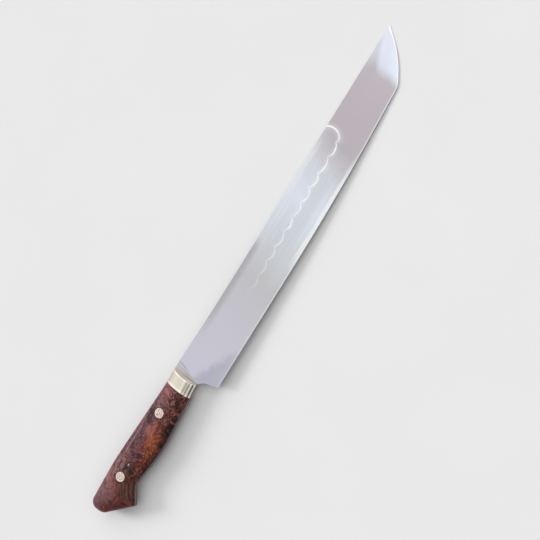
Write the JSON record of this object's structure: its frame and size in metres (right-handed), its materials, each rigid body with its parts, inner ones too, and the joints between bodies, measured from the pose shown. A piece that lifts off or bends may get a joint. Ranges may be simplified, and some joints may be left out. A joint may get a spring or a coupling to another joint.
{
  "type": "carving knife",
  "caption": "Long full-tang carving knife with a wavy temper line, a swept tip, a pale metal bolster and a burl wood handle with flush pins and a beaked butt.",
  "frame": {"origin": "under the middle of the knife's bounding box, level with the outer face of its left scale", "axes": "+X from the butt to the tip, +Y from the cutting edge to the spine, +Z out of the right side"},
  "size_m": [0.444, 0.0402, 0.014],
  "materials": {
    "blade_steel": "mirror polish with a wavy temper line",
    "nickel_silver": "polished, pale and slightly warm",
    "burl_wood": "stabilised dark red-brown burl, polished to a gloss"
  },
  "bodies": {
    "root": {"blade": "blade_steel", "bolster_right": "nickel_silver", "bolster_left": "nickel_silver", "bolster_pin_upper": "nickel_silver", "bolster_pin_lower": "nickel_silver", "handle_scale_right": "burl_wood", "handle_scale_left": "burl_wood", "handle_pin_front": "nickel_silver", "handle_pin_rear": "nickel_silver"}
  },
  "joints": []
}
